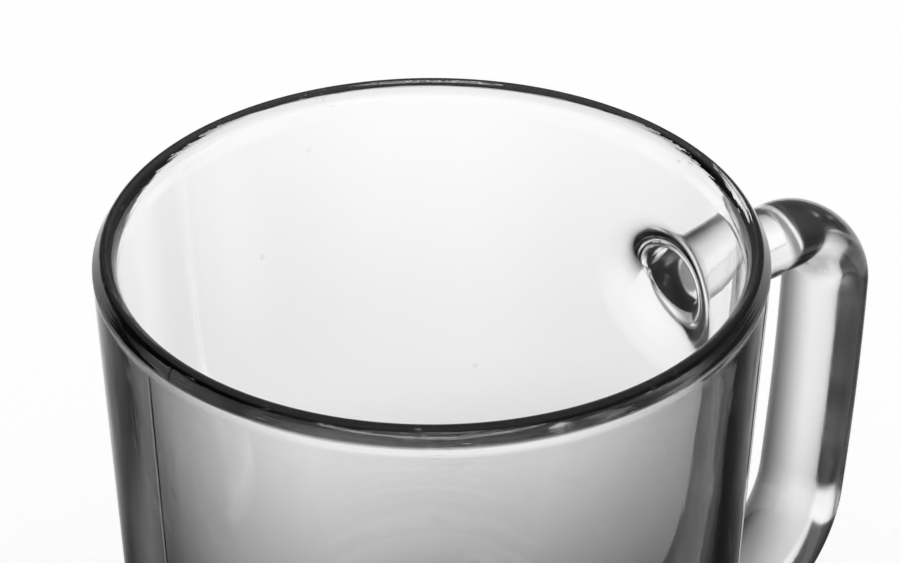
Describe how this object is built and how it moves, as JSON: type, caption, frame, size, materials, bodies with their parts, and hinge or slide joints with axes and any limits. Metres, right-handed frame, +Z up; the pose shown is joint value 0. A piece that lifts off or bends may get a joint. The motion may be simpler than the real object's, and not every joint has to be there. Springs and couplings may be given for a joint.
{
  "type": "beer mug",
  "caption": "Clear glass beer mug: a heavy, slightly tapered round vessel with a rounded lip and thick base, and a solid bar handle fused to its side.",
  "frame": {"origin": "on the table, under the middle of the box round the mug; the vessel's own axis stands 17.5 mm from it towards -X", "axes": "+Z up along the vessel's axis, from the foot to the lip; +X towards the handle; +Y across the handle"},
  "size_m": [0.124, 0.089, 0.13],
  "materials": {
    "body_glass": "clear polished glass, fire-smoothed, with a faint mould line opposite the handle and fine wear on the lip",
    "handle_glass": "clear polished solid glass bar"
  },
  "bodies": {
    "root": {"mug_body": "body_glass", "handle": "handle_glass"}
  },
  "joints": []
}
